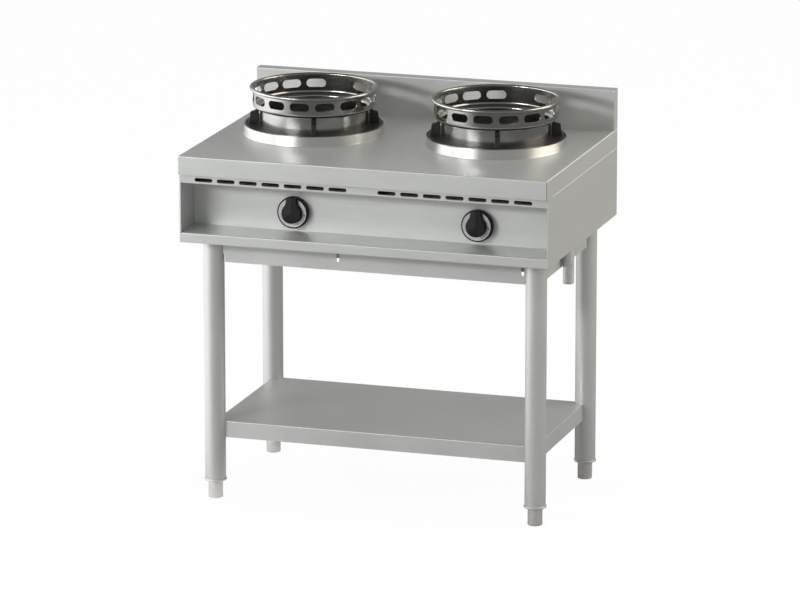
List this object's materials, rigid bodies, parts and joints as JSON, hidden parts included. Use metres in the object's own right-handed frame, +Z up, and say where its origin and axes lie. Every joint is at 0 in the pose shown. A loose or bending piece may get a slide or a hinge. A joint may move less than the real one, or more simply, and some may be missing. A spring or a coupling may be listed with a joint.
{
  "type": "wok range",
  "caption": "Free-standing gas wok range: stainless worktop with splashback, raised collars with slotted wok rings, recessed knobs, open stand with a shelf.",
  "frame": {"origin": "on the floor, below the centre of the worktop", "axes": "+X to the right of the cook, +Y towards the rear, +Z up"},
  "size_m": [0.9, 0.6, 0.966],
  "materials": {
    "stainless_satin": "satin stainless sheet, fine brushed",
    "stainless_polished": "polished stainless",
    "steel_plain": "zinc plated",
    "steel_pipe": "galvanised pipe",
    "steel_foot": "turned stainless",
    "aluminium_pipe": "drawn, plain",
    "copper_lead": "drawn copper",
    "brass": "turned, plain",
    "cast_iron": "as cast, heat darkened",
    "cast_iron_black": "black enamel over the casting",
    "black_moulding": "satin black thermoset",
    "dial": "satin printed ring"
  },
  "bodies": {
    "range": {"worktop": "stainless_satin", "splashback": "stainless_satin", "side_panel_left": "stainless_satin", "side_panel_right": "stainless_satin", "rear_panel": "stainless_satin", "rear_screws": "steel_plain", "base_pan": "stainless_satin", "pan_screws": "steel_plain", "front_lip": "stainless_satin", "control_panel": "stainless_satin", "vent_strip": "stainless_satin", "gas_manifold": "steel_pipe", "manifold_clips": "steel_plain", "inlet_elbow": "steel_pipe", "inlet_pipe": "steel_pipe", "supply_pipes": "aluminium_pipe", "pilot_tubes": "aluminium_pipe", "thermocouples": "copper_lead", "injectors": "brass", "pilot_burners": "brass", "burner_brackets": "steel_plain", "burner_screws": "steel_plain", "leg_plugs": "steel_plain", "leg_caps": "steel_plain", "leg_bolts": "steel_plain", "front_rail": "stainless_satin", "rear_rail": "stainless_satin", "side_rail_left": "stainless_satin", "side_rail_right": "stainless_satin", "shelf": "stainless_satin", "shelf_stiffener": "stainless_satin", "shelf_bolts": "steel_plain", "leg_front_left": "stainless_satin", "leg_front_right": "stainless_satin", "leg_rear_left": "stainless_satin", "leg_rear_right": "stainless_satin", "tap_left": "brass", "burner_body_left": "cast_iron", "well_left": "stainless_satin", "tap_right": "brass", "burner_body_right": "cast_iron", "well_right": "stainless_satin"},
    "tap_valve_left": {"push_rod_left": "steel_plain"},
    "knob_left": {"knob_left": "black_moulding", "dial_ring_left": "dial", "spindle_left": "steel_plain"},
    "pan_support_left": {"pan_support_left": "cast_iron_black"},
    "wok_ring_left": {"wok_ring_left": "stainless_polished"},
    "burner_cap_left": {"burner_cap_left": "cast_iron"},
    "tap_valve_right": {"push_rod_right": "steel_plain"},
    "knob_right": {"knob_right": "black_moulding", "dial_ring_right": "dial", "spindle_right": "steel_plain"},
    "pan_support_right": {"pan_support_right": "cast_iron_black"},
    "wok_ring_right": {"wok_ring_right": "stainless_polished"},
    "burner_cap_right": {"burner_cap_right": "cast_iron"},
    "foot_front_left": {"foot_front_left": "steel_foot"},
    "foot_front_right": {"foot_front_right": "steel_foot"},
    "foot_rear_left": {"foot_rear_left": "steel_foot"},
    "foot_rear_right": {"foot_rear_right": "steel_foot"}
  },
  "joints": [
    {"name": "knob_push_left", "type": "slide", "parent": "range", "child": "tap_valve_left", "axis": [0, 1, 0], "range_m": [0, 0.004], "stiffness_N_per_m": 1500, "springref_m": -0.001},
    {"name": "knob_turn_left", "type": "hinge", "parent": "tap_valve_left", "child": "knob_left", "pos_m": [-0.199, -0.19, 0.71], "axis": [0, -1, 0], "range_deg": [0, 155]},
    {"name": "pan_support_lift_left", "type": "slide", "parent": "range", "child": "pan_support_left", "axis": [0, 0, 1], "range_m": [0, 0.1]},
    {"name": "wok_ring_lift_left", "type": "slide", "parent": "pan_support_left", "child": "wok_ring_left", "axis": [0, 0, 1], "range_m": [0, 0.1]},
    {"name": "burner_cap_lift_left", "type": "slide", "parent": "range", "child": "burner_cap_left", "axis": [0, 0, 1], "range_m": [0, 0.05]},
    {"name": "knob_push_right", "type": "slide", "parent": "range", "child": "tap_valve_right", "axis": [0, 1, 0], "range_m": [0, 0.004], "stiffness_N_per_m": 1500, "springref_m": -0.001},
    {"name": "knob_turn_right", "type": "hinge", "parent": "tap_valve_right", "child": "knob_right", "pos_m": [0.253, -0.19, 0.71], "axis": [0, -1, 0], "range_deg": [0, 155]},
    {"name": "pan_support_lift_right", "type": "slide", "parent": "range", "child": "pan_support_right", "axis": [0, 0, 1], "range_m": [0, 0.1]},
    {"name": "wok_ring_lift_right", "type": "slide", "parent": "pan_support_right", "child": "wok_ring_right", "axis": [0, 0, 1], "range_m": [0, 0.1]},
    {"name": "burner_cap_lift_right", "type": "slide", "parent": "range", "child": "burner_cap_right", "axis": [0, 0, 1], "range_m": [0, 0.05]},
    {"name": "foot_screw_front_left", "type": "slide", "parent": "range", "child": "foot_front_left", "axis": [0, 0, 1], "range_m": [-0.035, 0]},
    {"name": "foot_screw_front_right", "type": "slide", "parent": "range", "child": "foot_front_right", "axis": [0, 0, 1], "range_m": [-0.035, 0]},
    {"name": "foot_screw_rear_left", "type": "slide", "parent": "range", "child": "foot_rear_left", "axis": [0, 0, 1], "range_m": [-0.035, 0]},
    {"name": "foot_screw_rear_right", "type": "slide", "parent": "range", "child": "foot_rear_right", "axis": [0, 0, 1], "range_m": [-0.035, 0]}
  ]
}
